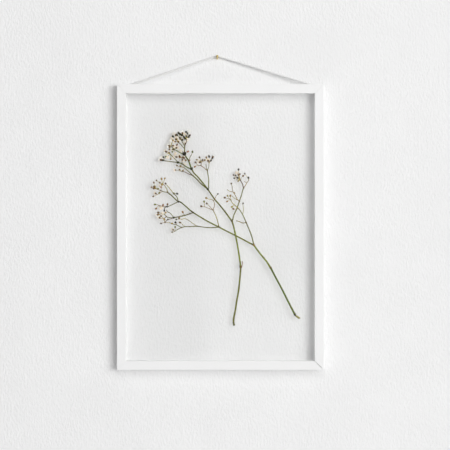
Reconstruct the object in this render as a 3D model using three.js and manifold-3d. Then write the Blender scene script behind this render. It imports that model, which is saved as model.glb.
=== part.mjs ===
import * as THREE from 'three';
import { mergeVertices } from 'three/addons/utils/BufferGeometryUtils.js';
import Module from 'manifold-3d';

// A small hanging frame with two pressed sprigs between clear panes.
// Millimetres, +Z up, +X to the viewer's right, +Y into the wall. The wall's face is at y = 0.
// The origin is where the hanging pin meets the wall.

// Frame
const FRAME_WIDTH = 228;
const FRAME_HEIGHT = 315;
const FRAME_DEPTH = 14;
const BAR_FACE = 10;
const ARRIS = 0.25;
const MITRE_GAP = 0.2;

// Panes in the bars' inner groove
const PANE_THICKNESS = 1.5;
const PANE_GROOVE_DEPTH = 4;
const PANE_HELD = 3.7;
const FRONT_LIP = 4;
const PANE_PLAY = 0.15;
const AIR_GAP = 2.6;

// Cord: in the bars' outer groove, and above them free, leaning back towards the wall up to the pin
const CORD_RADIUS = 1;
const CORD_GROOVE_WIDTH = 3;
const CORD_GROOVE_DEPTH = 3.5;
const CORD_PLANE = -FRAME_DEPTH / 2;
const CORD_PLAY = 0.15;
const CORD_LEAVES_Z = 155.4;
const CORD_APEX_Z = 190;
const CORD_APEX_FROM_WALL = 2.4;

// Pin, its root measured from the frame's centre
const PIN_X = -3.5;
const PIN_ROOT_Z = 187.2;
const PIN_RADIUS = 0.95;
const PIN_HEAD_RADIUS = 1.2;
const PIN_OUTSIDE = 8.6;
const PIN_IN_WALL = 12;
const PIN_TILT = THREE.MathUtils.degToRad(15);

// Pressed sprigs, each in a layer of its own between the panes
const PRESSED_THICKNESS = 1;
const LEANING_LAYER = -7.7;
const UPRIGHT_LAYER = -6.4;
const BUD_RADIUS = 1.05;
const FLOWER_RADIUS = 1.8;
const STALK_RADIUS = 0.2;
const FORK_GAP = 0.3;
const TIP_PREFERENCE = 3;
const THIN_SHOOT = 0.5;

const wasm = await Module();
wasm.setup();

// A closed geometry as a solid for joining and cutting
function toSolid(geometry) {
  const bare = geometry.clone();
  bare.deleteAttribute('normal');
  bare.deleteAttribute('uv');
  const merged = mergeVertices(bare, 1e-4);
  return new wasm.Manifold(new wasm.Mesh({
    numProp: 3,
    vertProperties: new Float32Array(merged.attributes.position.array),
    triVerts: new Uint32Array(merged.index.array),
  }));
}

// A solid back as a geometry
function toGeometry(solid) {
  const mesh = solid.getMesh();
  const geometry = new THREE.BufferGeometry();
  geometry.setAttribute('position', new THREE.BufferAttribute(mesh.vertProperties, 3));
  geometry.setIndex(new THREE.BufferAttribute(mesh.triVerts, 1));
  geometry.computeVertexNormals();
  return geometry;
}

function unite(solids) {
  return solids.reduce((sum, next) => sum.add(next));
}

// The biggest separate body of a solid
function biggest(solid) {
  const bodies = solid.decompose();
  bodies.sort((a, b) => b.volume() - a.volume());
  return bodies[0];
}

function named(name, geometry, material) {
  const mesh = new THREE.Mesh(geometry, material);
  mesh.name = name;
  return mesh;
}

// A route through chosen points, with one section at each point and none between
class Route extends THREE.Curve {
  constructor(points) {
    super();
    this.points = points;
    this.last = points.length - 1;
    this.closed = points[0].distanceTo(points[this.last]) < 1e-6;
  }
  getPoint(t) {
    return this.points[Math.round(t * this.last)].clone();
  }
  getSpacedPoints() {
    return this.points.map((point) => point.clone());
  }
  getTangentAt(u, target = new THREE.Vector3()) {
    const i = Math.round(u * this.last);
    const before = this.points[i > 0 ? i - 1 : (this.closed ? this.last - 1 : 0)];
    const after = this.points[i < this.last ? i + 1 : (this.closed ? 1 : this.last)];
    return target.copy(after).sub(before).normalize();
  }
}

function ringShape(radius, sides) {
  const corners = [];
  for (let i = 0; i < sides; i += 1) {
    const angle = (2 * Math.PI * i) / sides;
    corners.push(new THREE.Vector2(radius * Math.cos(angle), radius * Math.sin(angle)));
  }
  return new THREE.Shape(corners);
}

function tubeGeometry(points, radius, sides) {
  const route = new Route(points);
  return new THREE.ExtrudeGeometry(ringShape(radius, sides), { extrudePath: route, steps: route.last });
}

// Frame bar: its section has a groove for the panes inside and one for the cord outside.
// Across the bar, 0 is the inner edge and BAR_FACE the outer edge.
function barSection() {
  const paneFront = -FRAME_DEPTH + FRONT_LIP;
  const paneBack = paneFront + 2 * PANE_THICKNESS + AIR_GAP + 2 * PANE_PLAY;
  const cordFront = CORD_PLANE - CORD_GROOVE_WIDTH / 2;
  const cordBack = CORD_PLANE + CORD_GROOVE_WIDTH / 2;
  const section = new THREE.Shape();
  section.moveTo(ARRIS, 0);
  section.lineTo(0, -ARRIS);
  section.lineTo(0, paneBack);
  section.lineTo(PANE_GROOVE_DEPTH, paneBack);
  section.lineTo(PANE_GROOVE_DEPTH, paneFront);
  section.lineTo(0, paneFront);
  section.lineTo(0, -FRAME_DEPTH + ARRIS);
  section.lineTo(ARRIS, -FRAME_DEPTH);
  section.lineTo(BAR_FACE - ARRIS, -FRAME_DEPTH);
  section.lineTo(BAR_FACE, -FRAME_DEPTH + ARRIS);
  section.lineTo(BAR_FACE, cordFront);
  section.lineTo(BAR_FACE - CORD_GROOVE_DEPTH, cordFront);
  section.lineTo(BAR_FACE - CORD_GROOVE_DEPTH, cordBack);
  section.lineTo(BAR_FACE, cordBack);
  section.lineTo(BAR_FACE, -ARRIS);
  section.lineTo(BAR_FACE - ARRIS, 0);
  return section;
}

// A mitred bar as long as outerLength, standing outerOffset from the frame's centre, turned by angle
function barGeometry(outerLength, outerOffset, angle) {
  const geometry = new THREE.ExtrudeGeometry(barSection(), { depth: 1, bevelEnabled: false });
  const position = geometry.attributes.position;
  const gapAlongBar = (MITRE_GAP / 2) * Math.SQRT2;
  for (let i = 0; i < position.count; i += 1) {
    const across = position.getX(i);
    const end = position.getZ(i) > 0.5 ? 1 : -1;
    const halfLength = outerLength / 2 - (BAR_FACE - across) - gapAlongBar;
    position.setXYZ(i, end * halfLength, position.getY(i), outerOffset - BAR_FACE + across);
  }
  if (isInsideOut(geometry)) {
    flip(geometry);
  }
  geometry.rotateY(angle);
  return geometry;
}

// Six times the signed volume tells whether a closed surface is inside out
function isInsideOut(geometry) {
  const position = geometry.attributes.position;
  const a = new THREE.Vector3();
  const b = new THREE.Vector3();
  const c = new THREE.Vector3();
  let sum = 0;
  for (let i = 0; i < position.count; i += 3) {
    a.fromBufferAttribute(position, i);
    b.fromBufferAttribute(position, i + 1);
    c.fromBufferAttribute(position, i + 2);
    sum += a.dot(b.cross(c));
  }
  return sum < 0;
}

function flip(geometry) {
  const position = geometry.attributes.position;
  for (let i = 0; i < position.count; i += 3) {
    const x = position.getX(i);
    const y = position.getY(i);
    const z = position.getZ(i);
    position.setXYZ(i, position.getX(i + 1), position.getY(i + 1), position.getZ(i + 1));
    position.setXYZ(i + 1, x, y, z);
  }
}

function buildBars() {
  const bars = [
    ['bar_top', FRAME_WIDTH, FRAME_HEIGHT / 2, 0],
    ['bar_right', FRAME_HEIGHT, FRAME_WIDTH / 2, Math.PI / 2],
    ['bar_bottom', FRAME_WIDTH, FRAME_HEIGHT / 2, Math.PI],
    ['bar_left', FRAME_HEIGHT, FRAME_WIDTH / 2, -Math.PI / 2],
  ];
  return bars.map(([name, length, offset, angle]) => {
    const white = new THREE.MeshStandardMaterial({ color: 0xf0efec, roughness: 0.45, metalness: 0 });
    return named(name, barGeometry(length, offset, angle), white);
  });
}

// Two clear sheets, each with its edges in the inner groove
function buildPanes() {
  const width = FRAME_WIDTH - 2 * BAR_FACE + 2 * PANE_HELD;
  const height = FRAME_HEIGHT - 2 * BAR_FACE + 2 * PANE_HELD;
  const frontFace = -FRAME_DEPTH + FRONT_LIP + PANE_PLAY;
  const panes = [
    ['pane_front', frontFace + PANE_THICKNESS / 2],
    ['pane_back', frontFace + PANE_THICKNESS + AIR_GAP + PANE_THICKNESS / 2],
  ];
  return panes.map(([name, depth]) => {
    const clear = new THREE.MeshStandardMaterial({
      color: 0xf4f8f7, roughness: 0.05, metalness: 0, transparent: true, opacity: 0.15,
    });
    const mesh = named(name, new THREE.BoxGeometry(width, PANE_THICKNESS, height), clear);
    mesh.position.y = depth;
    return mesh;
  });
}

// The cord's route, chosen by hand: [right, up] from the frame's centre.
// It leaves the left corner's groove, runs up over the pin and down to the right corner,
// then lies on the groove's floor all the way round.
const CORD_ROUTE = [
  [0, -155.2],
  [-60, -155.2],
  [-109.6, -155.2],
  [-111.2, -154.6],
  [-111.65, -153],
  [-111.65, -80],
  [-111.65, 0],
  [-111.65, 80],
  [-111.65, 153],
  [-111.2, 154.6],
  [-109.8, 155.15],
  [-106.2, 155.15],
  [-104.2, CORD_LEAVES_Z],
  [-50, 174.05],
  [-4.5, 189.7],
  [PIN_X, CORD_APEX_Z],
  [-2.5, 189.6],
  [50, 173.3],
  [107.2, CORD_LEAVES_Z],
  [108.8, 155.15],
  [110, 155.15],
  [111.2, 154.6],
  [111.65, 153],
  [111.65, 80],
  [111.65, 0],
  [111.65, -80],
  [111.65, -153],
  [111.2, -154.6],
  [109.6, -155.2],
  [60, -155.2],
  [0, -155.2],
];

// Above the bars the cord leans back, so that it reaches the pin close to the wall
function leanBack(geometry) {
  const lean = (-CORD_APEX_FROM_WALL - CORD_PLANE) / (CORD_APEX_Z - CORD_LEAVES_Z);
  const position = geometry.attributes.position;
  for (let i = 0; i < position.count; i += 1) {
    const risen = Math.max(0, position.getZ(i) - CORD_LEAVES_Z);
    position.setY(i, position.getY(i) + lean * risen);
  }
}

// A closed tube: the two end caps of the extrusion meet and are left out
function buildCord() {
  const points = CORD_ROUTE.map(([right, up]) => new THREE.Vector3(right, CORD_PLANE, up));
  const tube = tubeGeometry(points, CORD_RADIUS - CORD_PLAY / 2, 8);
  const sides = tube.groups.find((group) => group.materialIndex === 1);
  const wall = new THREE.BufferGeometry();
  const all = tube.attributes.position.array;
  const own = all.slice(sides.start * 3, (sides.start + sides.count) * 3);
  wall.setAttribute('position', new THREE.BufferAttribute(own, 3));
  leanBack(wall);
  const pale = new THREE.MeshStandardMaterial({ color: 0xe2e0dc, roughness: 0.7, metalness: 0 });
  return named('hanging_cord', mergeVertices(wall, 1e-3), pale);
}

// Turned about its own axis, then laid along the wall's normal and tilted up towards the viewer
function buildPin() {
  const profile = [
    [0, -PIN_IN_WALL],
    [PIN_RADIUS, -PIN_IN_WALL + 3],
    [PIN_RADIUS, PIN_OUTSIDE - 1.6],
    [PIN_HEAD_RADIUS, PIN_OUTSIDE - 1.3],
    [PIN_HEAD_RADIUS, PIN_OUTSIDE - 0.8],
    [PIN_HEAD_RADIUS * 0.75, PIN_OUTSIDE - 0.3],
    [0, PIN_OUTSIDE],
  ];
  const points = profile.map(([radius, along]) => new THREE.Vector2(radius, along));
  const geometry = new THREE.LatheGeometry(points, 16);
  const brass = new THREE.MeshStandardMaterial({ color: 0xb99a5b, roughness: 0.3, metalness: 1 });
  const mesh = named('wall_pin', mergeVertices(geometry, 1e-4), brass);
  mesh.rotation.x = Math.PI - PIN_TILT;
  mesh.position.set(PIN_X, 0, PIN_ROOT_Z);
  return mesh;
}

// Parts of the two sprigs. Routes and places are [right, up] from the frame's centre, chosen by hand.
// A shoot is its radius and its route. Buds and flowers stand on stalks from the nearest shoot.
const UPRIGHT_SPRIG = {
  upright_stem: {
    shoots: [
      [0.78, [[15, -109], [14.5, -102.5], [16.5, -92], [18, -82], [20, -71], [21.5, -57.5], [22.5, -44]]],
      [0.72, [[22.5, -44], [21, -33.5], [19, -21], [17, -10.5], [15, -1], [13, 6]]],
      [0.32, [[22.6, -45], [24, -41], [23, -37.5]]],
    ],
    buds: [],
    flowers: [],
  },
  upright_left_limb: {
    shoots: [
      [0.64, [[13, 6], [5.5, 16.5], [-0.5, 24], [-6.5, 31], [-11, 37.5], [-14, 42]]],
    ],
    buds: [],
    flowers: [],
  },
  upright_right_limb: {
    shoots: [
      [0.5, [[13, 6], [15, 13.5], [18, 20], [21, 28.5]]],
      [0.44, [[21, 28.5], [23, 34.5], [24.5, 40], [25.5, 43]]],
      [0.4, [[25.5, 43], [24.5, 47.5], [22, 52]]],
      [0.3, [[25.5, 43], [27, 45], [29, 48.5], [31.5, 52]]],
      [0.22, [[29, 48.5], [27.5, 50], [26, 50.5]]],
      [0.3, [[21, 28.5], [18.5, 31], [17, 34.5]]],
      [0.22, [[17, 34.5], [14.5, 38], [13.5, 40.5], [13, 45]]],
      [0.22, [[13.5, 39], [10.5, 39.5], [7.5, 41.5]]],
      [0.22, [[19, 30], [15.5, 32], [13, 34.5]]],
    ],
    buds: [
      [19, 54.5], [20, 51], [15.5, 54], [14.5, 57.5], [17, 57], [20, 57.5], [21.5, 58.5],
      [20, 63.5], [25, 56.5], [27, 59], [31, 54.5], [15.5, 37.5], [12, 48],
    ],
    flowers: [[18, 60]],
  },
  upright_crown: {
    shoots: [
      [0.56, [[-14, 42], [-20, 49.5], [-25, 55.5], [-29, 59.5], [-32, 64.5]]],
      [0.5, [[-32, 64.5], [-34, 70], [-35.5, 74], [-38, 77.5], [-40, 80.5]]],
      [0.5, [[-32, 64.5], [-35.5, 65.5], [-39, 67.5], [-42.5, 70], [-47, 71.5]]],
      [0.36, [[-47, 71.5], [-55, 72.5], [-63, 73.5]]],
      [0.32, [[-47, 71.5], [-49.5, 74.5], [-53, 78], [-55.5, 81]]],
      [0.3, [[-42.5, 70], [-42.5, 73.5], [-42.5, 77]]],
      [0.44, [[-40, 80.5], [-39.5, 86.5], [-39.5, 90]]],
      [0.34, [[-39.5, 90], [-41.5, 93], [-43, 96]]],
      [0.34, [[-39.5, 90], [-37.5, 94.5], [-38, 98]]],
      [0.32, [[-39.5, 86.5], [-42, 89.5], [-44.5, 92], [-47, 94]]],
      [0.36, [[-40, 80.5], [-45, 82.5], [-48, 84.5], [-51.5, 86]]],
      [0.28, [[-51.5, 86], [-53, 88], [-54.5, 90]]],
      [0.27, [[-35, 73], [-33.5, 77.5], [-32, 80]]],
    ],
    buds: [
      [-63.5, 74], [-63, 77], [-60.5, 78], [-55, 75.5], [-48.5, 77.5], [-45, 77], [-59.5, 83],
      [-56.5, 86], [-53, 83.5], [-56, 88.5], [-52.5, 90], [-40.5, 76.5], [-38.5, 74], [-31, 83],
      [-36, 83.5], [-49, 97], [-52.5, 96], [-44.5, 97.5], [-40.5, 100], [-38, 101], [-44, 101.5],
      [-46.5, 103.5], [-53, 99.5], [-49.5, 101.5], [-34, 101], [-37, 104.5], [-41.5, 102],
      [-48, 91], [-34.5, 73.5],
    ],
    flowers: [
      [-67, 75], [-56, 92], [-58, 90], [-53.5, 85.5], [-57.5, 83], [-51, 88.5], [-40.5, 78],
      [-42.5, 105], [-40, 103.5], [-35, 106], [-51.5, 103], [-55, 95.5], [-60.5, 80.5],
      [-39, 93.5], [-51, 94.5], [-64.5, 76.5],
    ],
  },
  upright_crown_side: {
    shoots: [
      [0.48, [[-14, 42], [-21.5, 48], [-26, 53], [-30.5, 57]]],
      [0.34, [[-30.5, 57], [-34, 60.5], [-37.5, 63.5], [-40.5, 66]]],
      [0.3, [[-30.5, 57], [-35.5, 59], [-39.5, 61], [-43, 61.5]]],
    ],
    buds: [[-45, 63.5], [-48, 68], [-44, 67.5], [-41.5, 62.5]],
    flowers: [[-50.5, 63], [-39.5, 69.5]],
  },
  upright_small_spray: {
    shoots: [
      [0.4, [[-13, 43.5], [-13, 48.5], [-13, 53.5], [-14, 59], [-14.5, 62.5]]],
      [0.3, [[-14.5, 62.5], [-18, 65.5], [-21.5, 68]]],
      [0.25, [[-14.5, 62.5], [-15.5, 66], [-16, 69.5]]],
      [0.25, [[-14.5, 62.5], [-13, 66], [-12.5, 70.5]]],
      [0.24, [[-21.5, 68], [-25, 68.5]]],
      [0.24, [[-21.5, 68], [-21, 72]]],
    ],
    buds: [
      [-28, 67], [-27.5, 71.5], [-26, 74.5], [-23, 77], [-20, 74], [-17.5, 74], [-15.5, 77],
      [-12.5, 78], [-9, 76], [-10.5, 73.5],
    ],
    flowers: [[-7.5, 78.5], [-24, 72], [-14, 74.5]],
  },
};

const LEANING_SPRIG = {
  leaning_stem: {
    shoots: [
      [0.78, [[82.5, -97], [74, -80.5], [67.5, -67.5], [61, -55.5], [55.5, -45]]],
      [0.7, [[55.5, -45], [51, -38], [44, -29.5], [37, -20]]],
      [0.6, [[82.5, -97], [85.5, -99.5], [88, -101]]],
      [0.3, [[55, -44], [51.5, -36]]],
    ],
    buds: [],
    flowers: [],
  },
  leaning_main_limb: {
    shoots: [
      [0.64, [[37, -20], [26.5, -14.5], [17, -9.5], [5, -3.5], [-1.5, 0]]],
      [0.6, [[-1.5, 0], [-12.5, 5.5], [-22, 11], [-30, 16]]],
      [0.56, [[-30, 16], [-34.5, 19.5], [-43, 27], [-46.5, 28]]],
    ],
    buds: [],
    flowers: [],
  },
  leaning_right_limb: {
    shoots: [
      [0.48, [[37, -20], [35, -11.5], [32.5, -4.5], [28.5, 5]]],
      [0.4, [[28.5, 5], [25, 13], [22, 18], [20, 20.5]]],
      [0.34, [[20, 20.5], [15, 25], [13, 27], [11.5, 30]]],
      [0.34, [[28.5, 5], [25, 4.5], [21, 6], [17.5, 7]]],
      [0.22, [[24.5, 13.5], [25.5, 19], [25, 23.5]]],
    ],
    buds: [[7.5, 28.5], [5, 32.5], [8, 34.5], [11, 34.5], [13, 22.5], [14.5, 20], [25, 26]],
    flowers: [],
  },
  leaning_small_spray: {
    shoots: [
      [0.34, [[-1.5, 0], [-3.5, 8], [-5.5, 13.5], [-8, 18.5]]],
      [0.22, [[-8, 18.5], [-12.5, 20.5], [-17.5, 22.5]]],
      [0.24, [[-8, 18.5], [-11, 22], [-13.5, 24.5]]],
      [0.25, [[-8, 18.5], [-6.5, 25], [-7.5, 29], [-9.5, 30.5]]],
      [0.22, [[-7.5, 29], [-6, 31.5], [-5, 34]]],
    ],
    buds: [[-21, 23], [-15, 26], [-18, 28], [-15.5, 32], [-3, 36.5]],
    flowers: [],
  },
  leaning_lower_spray: {
    shoots: [
      [0.4, [[-1.5, 0], [-7, -0.5], [-14.5, -0.5], [-26, 1]]],
      [0.36, [[-26, 1], [-34.5, 0.5], [-39, 0.5], [-43, -0.5]]],
      [0.25, [[-26, 1], [-31, 4.5], [-36, 8]]],
      [0.22, [[-36, 8], [-39.5, 9.5], [-43, 8.5]]],
      [0.27, [[-43, -0.5], [-47, -2.5], [-51, -5]]],
      [0.27, [[-43, -0.5], [-48.5, 2.5], [-51.5, 3], [-56.5, 5]]],
      [0.22, [[-39, 0.5], [-42, 3]]],
    ],
    buds: [[-53, -5.5], [-50, 0], [-49.5, 5], [-48.5, 8.5], [-44.5, 5], [-65.5, 4], [-53.5, 4]],
    flowers: [[-53, -2.5]],
  },
  leaning_middle_spray: {
    shoots: [
      [0.44, [[-30, 16], [-34.5, 14.5], [-39, 13], [-45.5, 11.5], [-51.5, 10.5]]],
      [0.28, [[-51.5, 10.5], [-55, 15], [-58.5, 17], [-59.5, 19]]],
      [0.27, [[-51.5, 10.5], [-56.5, 10.5], [-59.5, 11.5], [-62, 14.5]]],
      [0.28, [[-51.5, 10.5], [-55, 9], [-58, 8.5], [-59.5, 7]]],
      [0.24, [[-59.5, 11.5], [-62.5, 9.5]]],
      [0.22, [[-39, 13], [-41, 14.5]]],
    ],
    buds: [
      [-68.5, 16], [-68, 14], [-65.5, 12], [-61, 5.5], [-41.5, 16.5], [-45.5, 10], [-60.5, 16],
      [-62, 8.5],
    ],
    flowers: [[-70.5, 13.5], [-68, 11], [-64, 15]],
  },
  leaning_inner_spray: {
    shoots: [
      [0.34, [[-46.5, 28], [-52, 25.5], [-55, 24], [-58.5, 22.5]]],
      [0.25, [[-58.5, 22.5], [-61.5, 21.5], [-62, 19]]],
      [0.22, [[-58.5, 22.5], [-64, 23], [-68, 24]]],
    ],
    buds: [[-72, 25], [-71, 20.5], [-63.5, 24], [-59, 22.5], [-62, 18.5], [-58.5, 25]],
    flowers: [[-65.5, 21]],
  },
  leaning_top_spray: {
    shoots: [
      [0.48, [[-46.5, 28], [-50, 31], [-53.5, 34.5], [-58.5, 38.5]]],
      [0.32, [[-46.5, 28], [-48, 33], [-51.5, 37]]],
      [0.27, [[-51.5, 37], [-54, 40], [-57, 44], [-59, 46]]],
      [0.3, [[-58.5, 38.5], [-62.5, 39], [-66, 40.5]]],
      [0.27, [[-58.5, 38.5], [-59, 41.5], [-61, 45]]],
      [0.24, [[-66, 40.5], [-70.5, 42]]],
      [0.22, [[-64, 39.5], [-68, 37], [-70.5, 35.5]]],
      [0.24, [[-61, 45], [-63.5, 48]]],
    ],
    buds: [
      [-65, 53], [-61.5, 53.5], [-70.5, 51.5], [-73.5, 49], [-67, 49], [-60.5, 48], [-64.5, 47],
      [-76, 44], [-73.5, 42.5], [-69, 42.5], [-67.5, 38], [-74, 34], [-51.5, 37], [-48, 37],
      [-65.5, 44],
    ],
    flowers: [[-73.5, 46], [-67, 46], [-72.5, 37.5]],
  },
};

// Where the stalk of a bud or flower starts: the nearest shoot point, with tips preferred
function stalkStart(place, shoots) {
  let best = null;
  let bestCost = Infinity;
  shoots.forEach(([, route]) => {
    route.forEach((point, i) => {
      const away = Math.hypot(place[0] - point[0], place[1] - point[1]);
      const cost = away + (i === route.length - 1 ? 0 : TIP_PREFERENCE);
      if (cost < bestCost) {
        bestCost = cost;
        best = point;
      }
    });
  });
  return best;
}

// A round form squeezed to the pressed thickness and put in its layer
function pressed(geometry, radius, layer, grow) {
  const halfThickness = PRESSED_THICKNESS / 2 + grow;
  geometry.scale(1, Math.min(1, halfThickness / radius), 1);
  geometry.translate(0, layer, 0);
  return toSolid(geometry);
}

function shootSolid([radius, route], layer, grow) {
  const points = route.map(([right, up]) => new THREE.Vector3(right, 0, up));
  const sides = radius < THIN_SHOOT ? 4 : 6;
  return pressed(tubeGeometry(points, radius + grow, sides), radius + grow, layer, grow);
}

function stalkSolid(start, place, layer, grow) {
  const points = [new THREE.Vector3(start[0], 0, start[1]), new THREE.Vector3(place[0], 0, place[1])];
  return pressed(tubeGeometry(points, STALK_RADIUS + grow, 3), STALK_RADIUS + grow, layer, grow);
}

function headSolid(place, form, radius, layer, grow) {
  const geometry = form(radius + grow);
  geometry.translate(place[0], 0, place[1]);
  return pressed(geometry, radius + grow, layer, grow);
}

const budForm = (radius) => new THREE.OctahedronGeometry(radius, 0);
const flowerForm = (radius) => new THREE.SphereGeometry(radius, 6, 3);

function shootsOf(part, layer, grow) {
  return unite(part.shoots.map((shoot) => shootSolid(shoot, layer, grow)));
}

function headsOf(part, layer, grow) {
  const kinds = [[part.buds, budForm, BUD_RADIUS], [part.flowers, flowerForm, FLOWER_RADIUS]];
  const solids = [];
  kinds.forEach(([places, form, radius]) => {
    places.forEach((place) => {
      const start = stalkStart(place, part.shoots);
      if (Math.hypot(start[0] - place[0], start[1] - place[1]) > STALK_RADIUS) {
        solids.push(stalkSolid(start, place, layer, grow));
      }
      solids.push(headSolid(place, form, radius, layer, grow));
    });
  });
  return solids.length > 0 ? unite(solids) : null;
}

// Each part yields to the shoots of the parts before it, and its buds yield to every other part's shoots
function buildSprig(sprig, layer, color) {
  const names = Object.keys(sprig);
  const wideShoots = names.map((name) => shootsOf(sprig[name], layer, FORK_GAP));
  const wideHeads = names.map((name) => headsOf(sprig[name], layer, FORK_GAP));
  return names.map((name, i) => {
    const part = sprig[name];
    let shoots = shootsOf(part, layer, 0);
    let heads = headsOf(part, layer, 0);
    names.forEach((other, j) => {
      if (j < i) {
        shoots = shoots.subtract(wideShoots[j]);
      }
      if (heads !== null && j !== i) {
        heads = heads.subtract(wideShoots[j]);
      }
      if (heads !== null && j < i && wideHeads[j] !== null) {
        heads = heads.subtract(wideHeads[j]);
      }
    });
    const whole = biggest(heads === null ? shoots : shoots.add(heads));
    const dry = new THREE.MeshStandardMaterial({ color, roughness: 0.85, metalness: 0 });
    return named(name, toGeometry(whole), dry);
  });
}

// Everything above is placed from the frame's centre; the group sets the origin at the pin's root
const framed = new THREE.Group();
framed.add(...buildBars());
framed.add(...buildPanes());
framed.add(buildCord());
framed.add(buildPin());
framed.add(...buildSprig(UPRIGHT_SPRIG, UPRIGHT_LAYER, 0x6f6b4a));
framed.add(...buildSprig(LEANING_SPRIG, LEANING_LAYER, 0x77704c));
framed.position.set(-PIN_X, 0, -PIN_ROOT_Z);

const pressedFlowerFrame = new THREE.Group();
pressedFlowerFrame.add(framed);

export default pressedFlowerFrame;
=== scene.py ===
import math
import random

import bmesh
import bpy
from mathutils import Matrix, Vector, noise


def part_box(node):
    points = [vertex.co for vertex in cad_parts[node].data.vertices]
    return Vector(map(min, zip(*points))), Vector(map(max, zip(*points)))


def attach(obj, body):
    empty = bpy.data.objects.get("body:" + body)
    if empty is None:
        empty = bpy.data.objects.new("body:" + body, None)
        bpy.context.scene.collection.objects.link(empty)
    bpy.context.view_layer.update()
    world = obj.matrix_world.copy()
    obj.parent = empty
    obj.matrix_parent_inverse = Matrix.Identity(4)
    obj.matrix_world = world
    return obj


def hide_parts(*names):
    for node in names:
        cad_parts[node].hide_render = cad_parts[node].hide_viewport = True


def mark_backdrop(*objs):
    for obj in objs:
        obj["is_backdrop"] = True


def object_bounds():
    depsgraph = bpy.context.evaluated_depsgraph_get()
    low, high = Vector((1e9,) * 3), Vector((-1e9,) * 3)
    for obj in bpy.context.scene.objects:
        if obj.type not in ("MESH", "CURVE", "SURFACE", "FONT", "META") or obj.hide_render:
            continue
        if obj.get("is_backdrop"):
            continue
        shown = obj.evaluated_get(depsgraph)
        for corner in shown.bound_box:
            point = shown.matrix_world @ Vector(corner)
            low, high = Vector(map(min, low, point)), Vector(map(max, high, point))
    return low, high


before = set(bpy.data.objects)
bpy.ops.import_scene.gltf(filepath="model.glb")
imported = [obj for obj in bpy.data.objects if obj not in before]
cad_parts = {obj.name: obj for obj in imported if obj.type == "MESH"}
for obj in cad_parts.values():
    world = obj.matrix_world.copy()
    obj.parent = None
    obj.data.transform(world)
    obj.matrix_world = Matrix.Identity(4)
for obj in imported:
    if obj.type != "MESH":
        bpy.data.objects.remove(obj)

# A small hanging frame with two dried sprigs pressed between clear panes.
# Metres, +X to the viewer's right, +Y into the wall, +Z up, the origin at the pin's root on the wall.

MM = 0.001
BODY = "root"
cad_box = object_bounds()


def middle(node):
    low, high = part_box(node)
    return (Vector(low) + Vector(high)) / 2


PANE_MIDDLE = middle("pane_front")
FRAME_MIDDLE = Vector((PANE_MIDDLE.x, 0, PANE_MIDDLE.z))
FRAME_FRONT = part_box("bar_top")[0][1]
CORD_PLANE = FRAME_FRONT / 2
LAYERS = {"upright": middle("upright_stem").y, "leaning": middle("leaning_stem").y}

# Camera and stage, in metres
CAMERA_DISTANCE = 1.6
VIEW_WIDTH = 0.4956
CAMERA_RIGHT = 5.1 * MM
CAMERA_UP = 2.3 * MM
SENSOR_WIDTH = 36
WALL_GAP = 0.3 * MM
WALL_HALF = 1.5
FLOOR_HALF = 2.6
FLOOR_LEVEL = -1.1
STIPPLE_FADES = (0.5, 0.75)

# The room: strengths of its white light, the degrees from -Y within which it dims and has a doorway,
# and the doorway's soft left edge, as the X of a direction
AMBIENT = 0.14
DIM_SHARE = 0.2
DIMS_WITHIN = (32, 14)
SIDE_LIGHT = 0.34
PALE_DOORWAY = 0.62
DOORWAY_WITHIN = (12, 8)
DOORWAY_LEFT_EDGE = (-0.024, -0.004)

# Lamps: degrees to the side and up, metres away, metres wide and high, watts, seen in reflections
LAMPS = {
    "window_light": (28, 2, 8, 3.4, 2.6, 277, True),
    "room_light": (42, 12, 8, 3.4, 3.4, 139, True),
    "ceiling_light": (4, 35, 2.4, 1.3, 0.9, 9.5, True),
    "fill_light": (2, 10, 3.5, 4.0, 3.0, 20, False),
    "rear_light": (180, 0, 2.2, 1.0, 1.0, 20, True),
}

# Frame: paint closes part of the gap at three joints, and the fourth has opened
PAINTED_GAP = 0.115 * MM
OPENED_GAP = -0.13 * MM
PAINT_ROUNDING = 0.1 * MM
PANE_ROUNDING = 0.15 * MM

# Plant, its radii and sizes in millimetres
HALF_PRESSED = 0.48 * MM
ADDED_RADIUS = 0.05
SHOOT_GROWTH = 1.19
JOINT_GROWTH = 1.25
STALK_RADIUS = 0.2
TIP_PREFERENCE = 3
FIBRES = 9
FIBRE_RADIUS = 0.16
BUD_SIZES = (1.7, 2.25)
DARK_BUD_GROWTH = 1.15
FLOWER_SIZES = (2.0, 2.7)
WHITE_FLOWER_GROWTH = 1.2

# A shoot's thickness along it, in shares of its radius
AT_FOOT = 1.14
TAPER = 0.1
SWELLING = 0.15
WOBBLE = 0.08

# Shares of the buds, of the flowers, and of the lamps' light that gets past the plant
OPEN_BUDS = 0.55
FACE_ON_FLOWERS = 0.5
SHADOW_THINNED = 0.76

# Finishes, as 8-bit colours
PAINT_WHITE = (236, 236, 236)
PAINT_SHADE = (233, 233, 232)
WALL_WHITE = (236, 236, 236)
WALL_SHADE = (234, 234, 234)
FLOOR_WHITE = (226, 226, 226)
FLOOR_SHADE = (220, 220, 220)
CORD_PALE = (229, 229, 228)
# The cord's second colour is painted shade for the hollows of its braid
CORD_PAINTED_SHADE = (216, 216, 215)
BRASS = (232, 208, 128)
BRASS_TARNISH = (168, 134, 62)
STALK_BLOTCH = (196, 172, 150)
STALK_SPECKLE = (50, 46, 8)
PETAL_BROWNING = (206, 180, 150)
DRIED = {
    "olive": (110, 117, 0),
    "green": (94, 116, 0),
    "fresh": (130, 148, 0),
    "sage": (160, 164, 96),
    "brown": (102, 75, 26),
    "dark": (24, 20, 8),
    "tan": (160, 138, 68),
    "gold": (150, 108, 14),
    "grey": (50, 56, 44),
    "rose": (160, 118, 92),
    "pale": (160, 152, 20),
    "straw": (172, 156, 40),
    "moss": (34, 42, 14),
    "cream": (252, 242, 225),
    "white": (254, 253, 248),
}


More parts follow.
